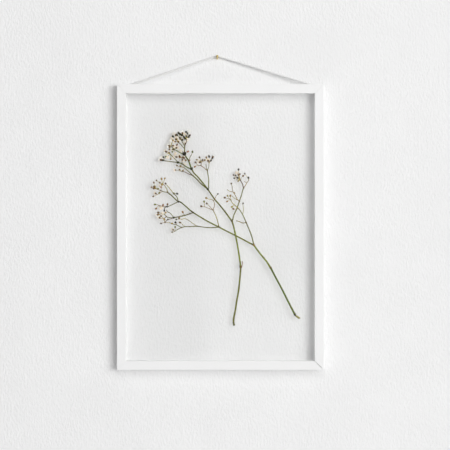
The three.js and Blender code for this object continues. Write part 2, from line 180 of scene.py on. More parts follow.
def linear(colour):
    def channel(value):
        value /= 255
        return value / 12.92 if value <= 0.04045 else ((value + 0.055) / 1.055) ** 2.4
    return tuple(channel(value) for value in colour) + (1.0,)


# The two sprigs: millimetres [right, up] from the frame's middle. The shoots run as in the solids.
# Some buds and bracts are a little off the solids' own, and the crown has more buds and flowers.
# A shoot is its radius, its colour and its route. Buds and flowers are listed by colour.
# A joint is the swelling where shoots part: its place, radius and colour.
SPRIGS = {
    "upright_stem": {
        "shoots": [
            (0.78, "olive", [(15, -109), (14.5, -102.5), (16.5, -92), (18, -82), (20, -71),
                             (21.5, -57.5), (22.5, -44)]),
            (0.72, "fresh", [(22.5, -44), (21, -33.5), (19, -21), (17, -10.5), (15, -1), (13, 6)]),
            (0.32, "rose", [(22.8, -45), (24.5, -41), (24, -37.5)]),
        ],
        "joints": [((22.5, -44), 1.3, "brown"), ((14.6, -102.5), 0.84, "dark"),
                   ((17.6, -84.5), 0.8, "brown"), ((13, 6), 0.85, "brown")],
        "cut_end": ((14.6, -103.4), (15.1, -109), 1.05),
    },
    "upright_left_limb": {
        "shoots": [
            (0.64, "olive", [(13, 6), (5.5, 16.5), (-0.5, 24), (-6.5, 31), (-11, 37.5), (-14, 42)]),
        ],
        "joints": [((-14, 42), 1.1, "dark")],
    },
    "upright_right_limb": {
        "shoots": [
            (0.5, "olive", [(13, 6), (15, 13.5), (18, 20), (21, 28.5)]),
            (0.44, "olive", [(21, 28.5), (23, 34.5), (24.5, 40), (25.5, 43)]),
            (0.4, "brown", [(25.5, 43), (24.5, 47.5), (22, 52)]),
            (0.3, "tan", [(25.5, 43), (27, 45), (29, 48.5), (31.5, 52)]),
            (0.22, "tan", [(29, 48.5), (27.5, 50), (26, 50.5)]),
            (0.3, "tan", [(21, 28.5), (18.5, 31), (17, 34.5)]),
            (0.22, "tan", [(17, 34.5), (14.5, 38), (13.5, 40.5), (13, 45)]),
            (0.22, "pale", [(13.5, 39), (10.5, 39.5), (7.5, 41.5)]),
            (0.22, "pale", [(19, 30), (15.5, 32), (13, 34.5)]),
        ],
        "joints": [((21, 28.5), 0.7, "brown"), ((25.5, 43), 0.6, "olive"), ((22, 52), 0.6, "brown")],
        "buds": {
            "dark": [(19, 54.5), (15.5, 54), (17, 57), (27, 59), (31, 54.5)],
            "brown": [(14.5, 57.5), (20, 57.5), (21.5, 58.5), (25, 56.5), (12, 48)],
            "tan": [(20, 51), (15.5, 37.5)],
            "grey": [(20, 63.5)],
        },
        "flowers": {"cream": [(18, 60)]},
    },
    "upright_crown": {
        "shoots": [
            (0.6, "olive", [(-14, 42), (-20, 49.5), (-25, 55.5), (-29, 59.5), (-32, 64.5)]),
            (0.66, "green", [(-32, 64.5), (-34, 70), (-35.5, 74), (-38, 77.5), (-40, 80.5)]),
            (0.5, "green", [(-32, 64.5), (-35.5, 65.5), (-39, 67.5), (-42.5, 70), (-47, 71.5)]),
            (0.36, "olive", [(-47, 71.5), (-55, 72.5), (-63, 73.5)]),
            (0.32, "olive", [(-47, 71.5), (-49.5, 74.5), (-53, 78), (-55.5, 81)]),
            (0.3, "brown", [(-42.5, 70), (-42.5, 73.5), (-42.5, 77)]),
            (0.44, "olive", [(-40, 80.5), (-39.5, 86.5), (-39.5, 90)]),
            (0.34, "olive", [(-39.5, 90), (-41.5, 93), (-43, 96)]),
            (0.34, "brown", [(-39.5, 90), (-37.5, 94.5), (-38, 98)]),
            (0.32, "olive", [(-39.5, 86.5), (-42, 89.5), (-44.5, 92), (-47, 94)]),
            (0.36, "green", [(-40, 80.5), (-45, 82.5), (-48, 84.5), (-51.5, 86)]),
            (0.28, "olive", [(-51.5, 86), (-53, 88), (-54.5, 90)]),
            (0.27, "olive", [(-35, 73), (-33.5, 77.5), (-32, 80)]),
        ],
        "joints": [((-32, 64.5), 1.3, "moss"), ((-40, 81), 1.8, "dark"), ((-47, 71.5), 1.1, "moss"),
                   ((-39.5, 90), 0.6, "olive"), ((-51.5, 86), 0.6, "dark"), ((-42.5, 70), 0.6, "brown")],
        "buds": {
            "grey": [(-63.5, 74), (-63, 77), (-34.2, 101.3), (-36.4, 103.5), (-38, 105.1), (-35.3, 99.6)],
            "green": [(-60.5, 78), (-53, 83.5), (-31, 83)],
            "moss": [(-46.3, 104), (-44.7, 102.9), (-48, 101.8), (-52.4, 100.2), (-42.4, 101.8),
                     (-40.2, 99.6), (-39.1, 97.9), (-42.4, 96.3)],
            "tan": [(-55, 75.5), (-38.5, 74), (-52.5, 96)],
            "gold": [(-45, 77)],
            "brown": [(-48.5, 77.5), (-59.5, 83), (-56.5, 86), (-56, 88.5), (-52.5, 90), (-40.5, 76.5),
                      (-49, 97), (-44.5, 97.5), (-49.5, 101.5)],
            "dark": [(-44.7, 98.5), (-37.8, 100.6)],
            "rose": [(-36, 83.5), (-48, 91), (-34.5, 73.5)],
        },
        "flowers": {
            "white": [(-67, 75), (-56, 92), (-58, 90), (-42.5, 105), (-35, 106), (-51.5, 103),
                      (-64.5, 76.5), (-60.5, 80.5), (-55, 95.5)],
            "cream": [(-53.5, 85.5), (-57.5, 83), (-51, 88.5), (-40.5, 78), (-40, 103.5), (-39, 93.5),
                      (-51, 94.5), (-54, 98), (-46, 95.5), (-47.5, 88), (-44, 84.5), (-50, 81),
                      (-58.5, 77.5), (-52, 77.5), (-46, 79.5), (-61, 84.5), (-36.5, 97),
                      (-48.5, 99.5), (-41.5, 73.5)],
        },
    },
    "upright_crown_side": {
        "shoots": [
            (0.48, "olive", [(-14, 42), (-21.5, 48), (-26, 53), (-30.5, 57)]),
            (0.34, "olive", [(-30.5, 57), (-34, 60.5), (-37.5, 63.5), (-40.5, 66)]),
            (0.3, "brown", [(-30.5, 57), (-35.5, 59), (-39.5, 61), (-43, 61.5)]),
        ],
        "joints": [((-30.5, 57), 0.65, "brown")],
        "buds": {"brown": [(-45, 63.5), (-48, 68)], "tan": [(-44, 67.5), (-41.5, 62.5)]},
        "flowers": {"cream": [(-50.5, 63), (-39.5, 69.5)]},
    },
    "upright_small_spray": {
        "shoots": [
            (0.4, "olive", [(-13, 43.5), (-13, 48.5), (-13, 53.5), (-14, 59), (-14.5, 62.5)]),
            (0.3, "tan", [(-14.5, 62.5), (-18, 65.5), (-21.5, 68)]),
            (0.25, "olive", [(-14.5, 62.5), (-15.5, 66), (-16, 69.5)]),
            (0.25, "olive", [(-14.5, 62.5), (-13, 66), (-12.5, 70.5)]),
            (0.24, "tan", [(-21.5, 68), (-25, 68.5)]),
            (0.24, "tan", [(-21.5, 68), (-21, 72)]),
        ],
        "joints": [((-14.5, 62.5), 0.55, "brown"), ((-21.5, 68), 0.45, "brown")],
        "buds": {
            "gold": [(-28, 67)],
            "brown": [(-27.5, 71.5), (-23, 77), (-20, 74)],
            "tan": [(-26, 74.5), (-17.5, 74), (-15.5, 77)],
            "grey": [(-12.5, 78)],
            "dark": [(-9, 76), (-10.5, 73.5)],
        },
        "flowers": {"white": [(-7.5, 78.5)], "cream": [(-24, 72), (-14, 74.5)]},
    },
    "leaning_stem": {
        "shoots": [
            (0.78, "green", [(82.5, -97), (74, -80.5), (67.5, -67.5), (61, -55.5), (55.5, -45)]),
            (0.7, "fresh", [(55.5, -45), (51, -38), (44, -29.5), (37, -20)]),
            (0.3, "pale", [(54.2, -44.5), (50.2, -37)]),
        ],
        "joints": [((55.5, -45), 1.08, "brown"), ((82.3, -96.7), 1.1, "dark"), ((37, -20), 0.95, "gold"),
                   ((48, -34), 0.74, "brown")],
        "cut_end": ((82.8, -97.6), (88, -101), 1.2),
    },
    "leaning_main_limb": {
        "shoots": [
            (0.64, "olive", [(37, -20), (26.5, -14.5), (17, -9.5), (5, -3.5), (-1.5, 0)]),
            (0.6, "olive", [(-1.5, 0), (-12.5, 5.5), (-22, 11), (-30, 16)]),
            (0.56, "olive", [(-30, 16), (-34.5, 19.5), (-43, 27), (-46.5, 28)]),
        ],
        "joints": [((-1.5, 0), 0.75, "brown"), ((-30, 16), 0.8, "dark"), ((-46.5, 28), 0.8, "dark")],
    },
    "leaning_right_limb": {
        "shoots": [
            (0.48, "olive", [(37, -20), (35, -11.5), (32.5, -4.5), (28.5, 5)]),
            (0.4, "olive", [(28.5, 5), (25, 13), (22, 18), (20, 20.5)]),
            (0.34, "pale", [(20, 20.5), (15, 25), (13, 27), (11.5, 30)]),
            (0.34, "pale", [(28.5, 5), (25, 4.5), (21, 6), (17.5, 7)]),
            (0.22, "pale", [(24.5, 13.5), (25.5, 19), (25, 23.5)]),
        ],
        "joints": [((28.5, 5), 0.7, "brown"), ((20, 20.5), 0.5, "rose"), ((11.5, 30), 0.5, "olive")],
        "buds": {
            "gold": [(7.5, 28.5), (14.5, 20)],
            "pale": [(13, 22.5), (8, 34.5)],
            "brown": [(5, 32.5), (25, 26)],
            "tan": [(11, 34.5)],
        },
    },
    "leaning_small_spray": {
        "shoots": [
            (0.34, "pale", [(-1.5, 0), (-3.5, 8), (-5.5, 13.5), (-8, 18.5)]),
            (0.22, "tan", [(-8, 18.5), (-12.5, 20.5), (-17.5, 22.5)]),
            (0.24, "tan", [(-8, 18.5), (-11, 22), (-13.5, 24.5)]),
            (0.25, "tan", [(-8, 18.5), (-6.5, 25), (-7.5, 29), (-9.5, 30.5)]),
            (0.22, "tan", [(-7.5, 29), (-6, 31.5), (-5, 34)]),
        ],
        "joints": [((-8, 18.5), 0.5, "brown"), ((-7.5, 29), 0.4, "brown")],
        "buds": {
            "brown": [(-21, 23), (-15, 26)],
            "olive": [(-18, 28)],
            "tan": [(-15.5, 32)],
            "dark": [(-3, 36.5)],
        },
    },
    "leaning_lower_spray": {
        "shoots": [
            (0.4, "olive", [(-1.5, 0), (-7, -0.5), (-14.5, -0.5), (-26, 1)]),
            (0.36, "olive", [(-26, 1), (-34.5, 0.5), (-39, 0.5), (-43, -0.5)]),
            (0.25, "pale", [(-26, 1), (-31, 4.5), (-36, 8)]),
            (0.22, "pale", [(-36, 8), (-39.5, 9.5), (-43, 8.5)]),
            (0.27, "olive", [(-43, -0.5), (-47, -2.5), (-51, -5)]),
            (0.27, "olive", [(-43, -0.5), (-48.5, 2.5), (-51.5, 3), (-56.5, 5)]),
            (0.22, "pale", [(-39, 0.5), (-42, 3)]),
        ],
        "joints": [((-26, 1), 0.55, "olive"), ((-43, -0.5), 0.6, "brown")],
        "buds": {
            "olive": [(-53, -5.5), (-50, 0)],
            "dark": [(-49.5, 5), (-48.5, 8.5)],
            "brown": [(-44.5, 5), (-65.5, 4)],
            "tan": [(-53.5, 4)],
        },
        "flowers": {"cream": [(-53, -2.5)]},
    },
    "leaning_middle_spray": {
        "shoots": [
            (0.44, "olive", [(-30, 16), (-34.5, 14.5), (-39, 13), (-45.5, 11.5), (-51.5, 10.5)]),
            (0.28, "olive", [(-51.5, 10.5), (-55, 15), (-58.5, 17), (-59.5, 19)]),
            (0.27, "olive", [(-51.5, 10.5), (-56.5, 10.5), (-59.5, 11.5), (-62, 14.5)]),
            (0.28, "brown", [(-51.5, 10.5), (-55, 9), (-58, 8.5), (-59.5, 7)]),
            (0.24, "brown", [(-59.5, 11.5), (-62.5, 9.5)]),
            (0.22, "pale", [(-39, 13), (-41, 14.5)]),
        ],
        "joints": [((-33.5, 14.8), 0.7, "dark"), ((-51.5, 10.5), 0.9, "dark"), ((-58, 8.4), 0.6, "dark"),
                   ((-59.5, 11.5), 0.5, "brown")],
        "buds": {
            "brown": [(-68.5, 16), (-65.5, 12), (-61, 5.5)],
            "tan": [(-68, 14), (-45.5, 10), (-62, 8.5), (-60.5, 16)],
            "gold": [(-41.5, 16.5)],
        },
        "flowers": {"white": [(-70.5, 13.5)], "cream": [(-68, 11), (-64, 15)]},
    },
    "leaning_inner_spray": {
        "shoots": [
            (0.34, "olive", [(-46.5, 28), (-52, 25.5), (-55, 24), (-58.5, 22.5)]),
            (0.25, "olive", [(-58.5, 22.5), (-61.5, 21.5), (-62, 19)]),
            (0.22, "tan", [(-58.5, 22.5), (-64, 23), (-68, 24)]),
        ],
        "joints": [((-58.5, 22.5), 0.6, "dark")],
        "buds": {
            "olive": [(-72, 25)],
            "gold": [(-71, 20.5), (-63.5, 24)],
            "dark": [(-59, 22.5), (-62, 18.5)],
            "brown": [(-58.5, 25)],
        },
        "flowers": {"cream": [(-65.5, 21)]},
    },
    "leaning_top_spray": {
        "shoots": [
            (0.48, "olive", [(-46.5, 28), (-50, 31), (-53.5, 34.5), (-58.5, 38.5)]),
            (0.32, "olive", [(-46.5, 28), (-48, 33), (-51.5, 37)]),
            (0.27, "pale", [(-51.5, 37), (-54, 40), (-57, 44), (-59, 46)]),
            (0.3, "olive", [(-58.5, 38.5), (-62.5, 39), (-66, 40.5)]),
            (0.27, "pale", [(-58.5, 38.5), (-59, 41.5), (-61, 45)]),
            (0.24, "tan", [(-66, 40.5), (-70.5, 42)]),
            (0.22, "tan", [(-64, 39.5), (-68, 37), (-70.5, 35.5)]),
            (0.24, "tan", [(-61, 45), (-63.5, 48)]),
        ],
        "joints": [((-58.5, 38.5), 0.65, "brown"), ((-51.5, 37), 0.6, "olive"),
                   ((-66, 40.5), 0.45, "brown")],
        "buds": {
            "tan": [(-65, 53), (-61.5, 53.5), (-76, 44), (-64.5, 47)],
            "brown": [(-70.5, 51.5), (-73.5, 49), (-67, 49), (-60.5, 48), (-73.5, 42.5), (-74, 34)],
            "olive": [(-69, 42.5), (-67.5, 38), (-51.5, 37)],
            "grey": [(-48, 37)],
            "rose": [(-65.5, 44)],
        },
        "flowers": {"white": [(-73.5, 46)], "cream": [(-67, 46), (-72.5, 37.5)]},
    },
}

# The cord's route, as in the solids: millimetres [right, up] from the frame's middle
CORD_ROUTE = [
    (0, -155.2), (-60, -155.2), (-109.6, -155.2), (-111.2, -154.6), (-111.65, -153), (-111.65, -80),
    (-111.65, 0), (-111.65, 80), (-111.65, 153), (-111.2, 154.6), (-109.8, 155.15), (-106.2, 155.15),
    (-104.2, 155.4), (-50, 174.05), (-4.5, 189.7), (-3.5, 190), (-2.5, 189.6), (50, 173.3),
    (107.2, 155.4), (108.8, 155.15), (110, 155.15), (111.2, 154.6), (111.65, 153), (111.65, 80),
    (111.65, 0), (111.65, -80), (111.65, -153), (111.2, -154.6), (109.6, -155.2), (60, -155.2),
]
CORD_RADIUS = 0.96 * MM
CORD_SIDES = 16

# The braid: waves of thread round the cord, and radians of them for each millimetre along it
THREADS_ROUND = 6
THREADS_ALONG = 5

# Above the bars the cord leans back, so that it reaches the pin close to the wall
CORD_LEAVES = 155.4 * MM
CORD_APEX = 190 * MM
CORD_APEX_FROM_WALL = 2.4 * MM

# The pin, as in the solids
PIN_PLACE = (-3.5, 187.2)
PIN_TILT = math.radians(15)


def place(right, up, depth):
    return Vector((FRAME_MIDDLE.x + right * MM, depth, FRAME_MIDDLE.z + up * MM))


# Patterns and finishes

class Pattern:
    """Short calls for the nodes of one pattern, which starts from a kind of coordinates."""

    def __init__(self, tree, coordinates):
        self.tree = tree
        self.place = self.node("ShaderNodeTexCoord").outputs[coordinates]

    def node(self, kind, **settings):
        node = self.tree.nodes.new(kind)
        for name, value in settings.items():
            setattr(node, name, value)
        return node

    def feed(self, socket, source):
        if isinstance(source, (int, float, tuple)):
            socket.default_value = source
        else:
            self.tree.links.new(source, socket)

    def sides(self, vector=None):
        node = self.node("ShaderNodeSeparateXYZ")
        self.feed(node.inputs[0], vector or self.place)
        return node.outputs

    def stretched(self, scale):
        mapping = self.node("ShaderNodeMapping")
        self.feed(mapping.inputs["Vector"], self.place)
        mapping.inputs["Scale"].default_value = scale
        return mapping.outputs["Vector"]

    def noise(self, scale, detail=3, vector=None, roughness=0.5):
        node = self.node("ShaderNodeTexNoise")
        self.feed(node.inputs["Vector"], vector or self.place)
        node.inputs["Scale"].default_value = scale
        node.inputs["Detail"].default_value = detail
        node.inputs["Roughness"].default_value = roughness
        return node.outputs["Fac"]

    def range(self, value, low, high, new_low, new_high, kind="LINEAR"):
        node = self.node("ShaderNodeMapRange", interpolation_type=kind)
        self.feed(node.inputs["Value"], value)
        node.inputs["From Min"].default_value = low
        node.inputs["From Max"].default_value = high
        node.inputs["To Min"].default_value = new_low
        node.inputs["To Max"].default_value = new_high
        return node.outputs["Result"]

    def math(self, operation, *values):
        node = self.node("ShaderNodeMath", operation=operation)
        for socket, value in zip(node.inputs, values):
            self.feed(socket, value)
        return node.outputs[0]

    def mix(self, factor, first, second, blend="MIX"):
        node = self.node("ShaderNodeMix", data_type="RGBA", blend_type=blend)
        self.feed(node.inputs[0], factor)
        self.feed(node.inputs[6], first)
        self.feed(node.inputs[7], second)
        return node.outputs[2]

    def attribute(self, name):
        return self.node("ShaderNodeAttribute", attribute_name=name)


class Finish(Pattern):
    """A material under construction."""

    def __init__(self, name, roughness=0.5, metallic=0.0):
        self.material = bpy.data.materials.new(name)
        self.material.use_nodes = True
        super().__init__(self.material.node_tree, "Object")
        self.shader = self.tree.nodes["Principled BSDF"]
        self.shader.inputs["Roughness"].default_value = roughness
        self.shader.inputs["Metallic"].default_value = metallic

    def colour(self, source):
        self.feed(self.shader.inputs["Base Color"], source)

    def roughness(self, source):
        self.feed(self.shader.inputs["Roughness"], source)

    def bump(self, height, depth, strength=1.0):
        node = self.node("ShaderNodeBump")
        self.feed(node.inputs["Height"], height)
        node.inputs["Distance"].default_value = depth
        node.inputs["Strength"].default_value = strength
        self.feed(self.shader.inputs["Normal"], node.outputs["Normal"])

    def let_through(self, share, clearness=1.0):
        """Lets a share of the rays pass straight through, as bright as the clearness."""
        clear = self.node("ShaderNodeBsdfTransparent")
        clear.inputs["Color"].default_value = (clearness, clearness, clearness, 1.0)
        choice = self.node("ShaderNodeMixShader")
        self.feed(choice.inputs[0], share)
        self.feed(choice.inputs[1], self.shader.outputs[0])
        self.feed(choice.inputs[2], clear.outputs[0])
        self.feed(self.tree.nodes["Material Output"].inputs["Surface"], choice.outputs[0])

    def faint_shadow(self):
        """Thins the shadow that the lamps throw, for small dry parts that let light past."""
        self.let_through(self.node("ShaderNodeLightPath").outputs["Is Shadow Ray"], SHADOW_THINNED)


def white_paint(name, grain):
    """Satin white paint on a slim wooden bar; grain is the way the brush and the wood run."""
    finish = Finish(name, roughness=0.42)
    along = finish.stretched(grain)
    brush = finish.noise(900, detail=4, vector=along)
    wood = finish.noise(260, detail=2, vector=along)
    patches = finish.noise(22, detail=2)
    shaded = finish.range(patches, 0.35, 0.65, 0.0, 0.6)
    finish.colour(finish.mix(shaded, linear(PAINT_WHITE), linear(PAINT_SHADE)))
    finish.roughness(finish.range(brush, 0.3, 0.7, 0.42, 0.56))
    finish.bump(finish.math("ADD", brush, finish.math("MULTIPLY", wood, 1.5)), 0.04 * MM, 0.25)
    return finish.material


def clear_sheet():
    """A clear polished sheet with the faintest green tint."""
    finish = Finish("clear_sheet", roughness=0.0)
    finish.colour((0.981, 0.982, 0.981, 1.0))
    finish.shader.inputs["Transmission Weight"].default_value = 1.0
    finish.shader.inputs["IOR"].default_value = 1.49
    finish.shader.inputs["Specular IOR Level"].default_value = 0.15
    return finish.material


def woven_elastic():
    """A fine braid over elastic: two sets of threads that wind opposite ways round the cord, with painted
    shade in the hollows where the threads dip.
    """
    finish = Finish("woven_elastic", roughness=0.8)
    lay = finish.sides(finish.attribute("lay").outputs["Vector"])
    turns = finish.math("MULTIPLY", finish.math("ARCTAN2", lay["Y"], lay["X"]), THREADS_ROUND)
    along = finish.math("MULTIPLY", lay["Z"], THREADS_ALONG)
    right_hand = finish.math("SINE", finish.math("ADD", along, turns))
    left_hand = finish.math("SINE", finish.math("SUBTRACT", along, turns))
    threads = finish.range(finish.math("MULTIPLY", right_hand, left_hand), -1, 1, 0, 1)
    # Painted shade: darker colour where the threads dip
    painted_shade = finish.range(threads, 0.1, 0.7, 1.0, 0.0)
    finish.colour(finish.mix(painted_shade, linear(CORD_PALE), linear(CORD_PAINTED_SHADE)))
    finish.bump(threads, 0.05 * MM, 0.4)
    return finish.material


def polished_brass():
    """Brass with fine turning marks and a little tarnish."""
    finish = Finish("polished_brass", roughness=0.3, metallic=1.0)
    tarnish = finish.noise(900, detail=3)
    dulled = finish.range(tarnish, 0.35, 0.7, 0.0, 0.7)
    finish.colour(finish.mix(dulled, linear(BRASS), linear(BRASS_TARNISH)))
    finish.roughness(finish.range(tarnish, 0.3, 0.7, 0.22, 0.45))
    marks = finish.noise(4000, detail=2, vector=finish.stretched((0.2, 1, 1)))
    finish.bump(marks, 0.02 * MM, 0.4)
    return finish.material


def dried_stalk():
    """Dry plant: each part's own tint, blotched darker and finely speckled with light."""
    finish = Finish("dried_stalk", roughness=0.75)
    finish.shader.inputs["Specular IOR Level"].default_value = 0.12
    tint = finish.attribute("tint").outputs["Color"]
    blotches = finish.noise(420, detail=3)
    fine = finish.noise(3200, detail=4)
    darker = finish.mix(1.0, tint, linear(STALK_BLOTCH), blend="MULTIPLY")
    mottled = finish.mix(finish.range(blotches, 0.4, 0.62, 0.0, 1.0), tint, darker)
    lighter = finish.mix(1.0, mottled, linear(STALK_SPECKLE), blend="ADD")
    finish.colour(finish.mix(finish.range(fine, 0.52, 0.75, 0.0, 0.8), mottled, lighter))
    finish.roughness(finish.range(fine, 0.3, 0.7, 0.62, 0.88))
    finish.bump(fine, 0.08 * MM, 0.6)
    finish.faint_shadow()
    return finish.material


def dried_petal():
    """Papery cream petals, browned in patches."""
    finish = Finish("dried_petal", roughness=0.7)
    finish.shader.inputs["Specular IOR Level"].default_value = 0.3
    tint = finish.attribute("tint").outputs["Color"]
    patches = finish.noise(700, detail=3)
    veins = finish.noise(4200, detail=2)
    browned = finish.mix(1.0, tint, linear(PETAL_BROWNING), blend="MULTIPLY")
    finish.colour(finish.mix(finish.range(patches, 0.55, 0.75, 0.0, 0.5), tint, browned))
    finish.roughness(finish.range(veins, 0.3, 0.7, 0.6, 0.8))
    finish.bump(veins, 0.05 * MM, 0.5)
    finish.faint_shadow()
    return finish.material


def rolled_wall():
    """Pale wall paint with a roller's fine stipple, seen from the room only."""
    finish = Finish("rolled_wall", roughness=0.9)
    waves = finish.range(finish.noise(14, detail=2), 0.35, 0.65, 0.0, 1.0)
    finish.colour(finish.mix(waves, linear(WALL_WHITE), linear(WALL_SHADE)))
    rolled = finish.stretched((1, 1, 0.5))
    stipple = finish.noise(480, detail=3, vector=rolled, roughness=0.55)
    grains = finish.range(stipple, 0.35, 0.7, 0.0, 1.0)
    near = finish.range(finish.math("ABSOLUTE", finish.sides()["X"]), *STIPPLE_FADES, 0.35, 0.0)
    finish.bump(finish.math("MULTIPLY", grains, near), 0.8 * MM)
    finish.let_through(finish.node("ShaderNodeNewGeometry").outputs["Backfacing"])
    return finish.material


def pale_floor():
    finish = Finish("pale_floor", roughness=0.8)
    cloud = finish.noise(3, detail=3)
    finish.colour(finish.mix(cloud, linear(FLOOR_WHITE), linear(FLOOR_SHADE)))
    return finish.material


# Mesh helpers

def new_piece(name, bm, materials):
    mesh = bpy.data.meshes.new(name)
    bm.to_mesh(mesh)
    bm.free()
    for material in materials:
        mesh.materials.append(material)
    piece = bpy.data.objects.new(name, mesh)
    bpy.context.scene.collection.objects.link(piece)
    return piece


def mount_piece(piece, node):
    """The piece rides with the frame and stands for its CAD node."""
    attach(piece, BODY)
    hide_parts(node)


def turned_form(outline, steps, merged_within):
    """A closed form turned about Z from its outline, which is a list of radius and height."""
    bm = bmesh.new()
    verts = [bm.verts.new((radius, 0, up)) for radius, up in outline]
    edges = [bm.edges.new(pair) for pair in zip(verts, verts[1:])]
    bmesh.ops.spin(bm, geom=verts + edges, cent=(0, 0, 0), axis=(0, 0, 1), angle=math.tau, steps=steps,
                   use_merge=True)
    bmesh.ops.remove_doubles(bm, verts=bm.verts, dist=merged_within)
    bmesh.ops.recalc_face_normals(bm, faces=bm.faces)
    return bm


def shade_smooth(bm, sharp_from=None):
    for face in bm.faces:
        face.smooth = True
    if sharp_from is not None:
        for edge in bm.edges:
            edge.smooth = len(edge.link_faces) == 2 and edge.calc_face_angle() < sharp_from


def merged_copy(node):
    """The node's own shape as one clean mesh, ready for its edges to be rounded."""
    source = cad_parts[node]
    bm = bmesh.new()
    bm.from_mesh(source.data)
    bm.transform(source.matrix_world)
    bmesh.ops.remove_doubles(bm, verts=bm.verts, dist=0.005 * MM)
    bmesh.ops.dissolve_limit(bm, angle_limit=math.radians(1), verts=bm.verts, edges=bm.edges)
    return bm


def close_mitres(bm, low_gap, high_gap, axis):
    """Moves a bar's mitred ends along it by a gap each, outward if the gap is above 0."""
    for vert in bm.verts:
        vert.co[axis] += high_gap if vert.co[axis] > FRAME_MIDDLE[axis] else -low_gap


def round_edges(bm, offset, segments, sharper_than=math.radians(20)):
    """Rounds the sharp edges; only the rounding is shaded smooth, so that wide faces stay flat."""
    edges = [edge for edge in bm.edges if edge.calc_face_angle(0) > sharper_than]
    rounded = bmesh.ops.bevel(bm, geom=edges, offset=offset, segments=segments, profile=0.5,
                              affect="EDGES", material=-1, clamp_overlap=True)
    for face in rounded["faces"]:
        face.smooth = True


def ring_place(point, direction):
    """A matrix whose XY plane stands across a route at a point; the route is in an upright plane."""
    across = Vector((0, 1, 0))
    matrix = Matrix((across, direction.cross(across), direction)).transposed().to_4x4()
    matrix.translation = point
    return matrix


def smooth_route(points, step):
    """A curve through the points, with a place about every step."""
    route = []
    padded = [points[0] * 2 - points[1]] + points + [points[-1] * 2 - points[-2]]
    for before, start, end, after in zip(padded, padded[1:], padded[2:], padded[3:]):
        count = max(1, round((end - start).length / step))
        for k in range(count):
            t = k / count
            route.append(0.5 * (2 * start + (end - before) * t
                                + (2 * before - 5 * start + 4 * end - after) * t ** 2
                                + (3 * start - before - 3 * end + after) * t ** 3))
    route.append(points[-1].copy())
    return route


def directions(route, closed=False):
    """The way the route runs at each of its points."""
    first, last = (route[-1], route[0]) if closed else (route[0], route[-1])
    padded = [first] + route + [last]
    return [(after - before).normalized() for before, after in zip(padded, padded[2:])]


def sweep(route, radii, segments, groove=1.0):
    """A bar drawn along a route by extruding its end; a groove below 1 draws in every other edge."""
    bm = bmesh.new()
    ways = directions(route)
    placed = ring_place(route[0], ways[0])
    bmesh.ops.create_circle(bm, cap_ends=True, segments=segments, radius=radii[0], matrix=placed)
    bm.verts.ensure_lookup_table()
    if groove != 1.0:
        bmesh.ops.scale(bm, vec=(groove, groove, groove), space=placed.inverted(),
                        verts=list(bm.verts)[::2])
    bm.faces.ensure_lookup_table()
    end = bm.faces[0]
    for i in range(1, len(route)):
        grown = bmesh.ops.extrude_face_region(bm, geom=[end])["geom"]
        end = next(item for item in grown if isinstance(item, bmesh.types.BMFace))
        next_placed = ring_place(route[i], ways[i])
        ratio = radii[i] / radii[i - 1]
        move = next_placed @ Matrix.Scale(ratio, 4) @ placed.inverted()
        bmesh.ops.transform(bm, matrix=move, verts=end.verts[:])
        placed = next_placed
    bmesh.ops.recalc_face_normals(bm, faces=bm.faces)
    return bm


def append(target, source, tint=None, slot=0):
    """Adds a small mesh to a bigger one, with its tint and material slot, and frees it."""
    first_vert = len(target.verts)
    first_face = len(target.faces)
    mesh = bpy.data.meshes.new("part")
    source.to_mesh(mesh)
    source.free()
    target.from_mesh(mesh)
    bpy.data.meshes.remove(mesh)
    target.verts.ensure_lookup_table()
    target.faces.ensure_lookup_table()
    if tint is not None:
        layer = target.verts.layers.float_color["tint"]
        for vert in target.verts[first_vert:]:
            vert[layer] = tint(vert.co) if callable(tint) else tint
    for face in target.faces[first_face:]:
        face.material_index = slot
        face.smooth = True


# The plant's small parts, made once each and repeated. They are of unit size, with +Z up.

def bud_form(open_tip):
    """A bud in its calyx: a turned form whose rim has five teeth, with the tip standing out of it."""
    rim = 1.02
    outline = [(0, 0), (0.26, 0.08), (0.46, 0.36), (0.5, 0.72), (0.4, rim)]
    tip = [(0.3, 1.0), (0.26, 1.3), (0, 1.46)] if open_tip else [(0.2, 1.14), (0, 1.2)]
    bm = turned_form(outline + tip, 10, 1e-4)
    for vert in bm.verts:
        if abs(vert.co.z - rim) < 0.01:
            vert.co.z += 0.1 * math.cos(5 * math.atan2(vert.co.y, vert.co.x))
    return bm


def petal_form(length, width, rng):
    """A thin narrow petal with a notched tip, slightly cupped and curled."""
    bm = bmesh.new()
    bmesh.ops.create_grid(bm, x_segments=2, y_segments=3, size=0.5)
    cup = rng.uniform(0.1, 0.35)
    curl = rng.uniform(-0.25, 0.25)
    bend = rng.uniform(-0.2, 0.2)
    for vert in bm.verts:
        side = 2 * vert.co.x
        along = vert.co.y + 0.5
        spread = math.sin(math.pi * (0.12 + 0.66 * along)) ** 0.8
        notch = 0.14 * (1 - abs(side)) if along > 0.95 else 0.0
        vert.co = Vector((
            width * (0.5 * side * spread) + bend * length * along ** 2,
            width * cup * side ** 2 + length * curl * along ** 2,
            length * (along - notch),
        ))
    bmesh.ops.solidify(bm, geom=bm.faces[:], thickness=0.05)
    bmesh.ops.recalc_face_normals(bm, faces=bm.faces)
    return bm


def add_petal(flower, petal, turn, shift):
    """Turns a petal in the flower's plane, shifts it and adds it."""
    petal.transform(Matrix.Translation(shift) @ Matrix.Rotation(turn, 4, "Y"))
    append(flower, petal)


def rosette(rng):
    """A double flower pressed flat with its face to the pane. Its outer petals reach 1."""
    bm = bmesh.new()
    rings = [(10, 1.0, 0.36, 0.0), (7, 0.72, 0.32, -0.12), (4, 0.45, 0.26, -0.22)]
    for count, length, width, lift in rings:
        start = rng.uniform(0, math.tau)
        for k in range(count):
            petal = petal_form(length * rng.uniform(0.8, 1.05), width * rng.uniform(0.85, 1.15), rng)
            turn = start + math.tau * (k + rng.uniform(-0.25, 0.25)) / count
            add_petal(bm, petal, turn, (0, lift + rng.uniform(-0.05, 0.05), 0))
    return bm


